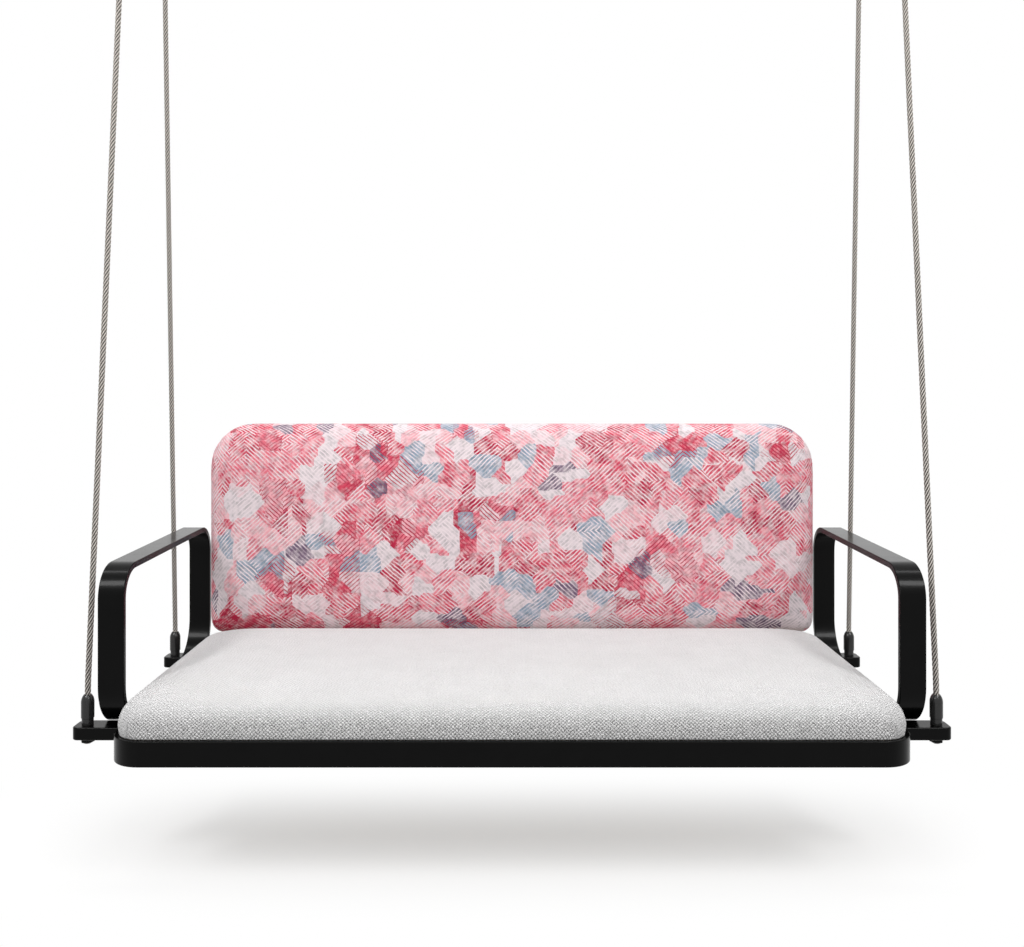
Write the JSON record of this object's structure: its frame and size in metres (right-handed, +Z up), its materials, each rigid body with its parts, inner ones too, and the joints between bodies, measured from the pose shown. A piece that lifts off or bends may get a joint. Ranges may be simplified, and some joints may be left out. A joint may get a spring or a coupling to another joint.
{
  "type": "hanging swing seat",
  "caption": "Bench swing seat with a black steel rim, padded seat and back, arm loops of flat bar, hung on wire ropes from hanger plates that swing in ceiling brackets.",
  "frame": {"origin": "in the ceiling plane, at the centre of the four ceiling bolt holes, straight above the swing axis", "axes": "+X along the bench to a viewer's right, +Y from the front of the seat to its back, +Z up to the ceiling"},
  "size_m": [1.396, 0.5853, 1.5276],
  "materials": {
    "black_paint": "satin",
    "dark_steel": "satin",
    "zinc_steel": "satin",
    "black_steel": "satin",
    "wire_rope": "satin",
    "plywood": "matte",
    "seat_fabric": "matte",
    "back_fabric": "matte",
    "foam": "matte",
    "bronze": "satin"
  },
  "bodies": {
    "ceiling_fittings": {"ceiling_bracket_left": "black_paint", "ceiling_bracket_right": "black_paint", "pivot_pin_left": "zinc_steel", "pivot_pin_right": "zinc_steel", "pivot_nuts": "zinc_steel"},
    "swing_seat": {"seat_rim": "black_paint", "front_beam": "black_paint", "rear_beam": "black_paint", "beam_end_front_left": "black_paint", "beam_end_front_right": "black_paint", "beam_end_rear_left": "black_paint", "beam_end_rear_right": "black_paint", "arm_left": "black_paint", "arm_right": "black_paint", "back_upright_left": "black_paint", "back_upright_right": "black_paint", "hanger_plate_left": "black_paint", "hanger_plate_right": "black_paint", "rope_terminal_front_left": "dark_steel", "rope_terminal_front_right": "dark_steel", "rope_terminal_rear_left": "dark_steel", "rope_terminal_rear_right": "dark_steel", "rope_fork_front_left": "dark_steel", "rope_fork_front_right": "dark_steel", "rope_fork_rear_left": "dark_steel", "rope_fork_rear_right": "dark_steel", "terminal_nuts": "dark_steel", "terminal_washers": "dark_steel", "deck_screws": "zinc_steel", "arm_nuts": "zinc_steel", "upright_bolts": "zinc_steel", "upright_nuts": "zinc_steel", "fork_pins": "zinc_steel", "fork_clips": "zinc_steel", "arm_bolts": "black_steel", "board_bolts": "black_steel", "rope_front_left": "wire_rope", "rope_front_right": "wire_rope", "rope_rear_left": "wire_rope", "rope_rear_right": "wire_rope", "seat_deck": "plywood", "back_board": "plywood", "seat_cover": "seat_fabric", "back_cover": "back_fabric", "seat_foam": "foam", "back_foam": "foam", "pivot_bush_left": "bronze", "pivot_bush_right": "bronze"}
  },
  "joints": [
    {"name": "swing", "type": "hinge", "parent": "ceiling_fittings", "child": "swing_seat", "pos_m": [0, 0, -0.05], "axis": [1, 0, 0], "range_deg": [-30, 30]}
  ]
}
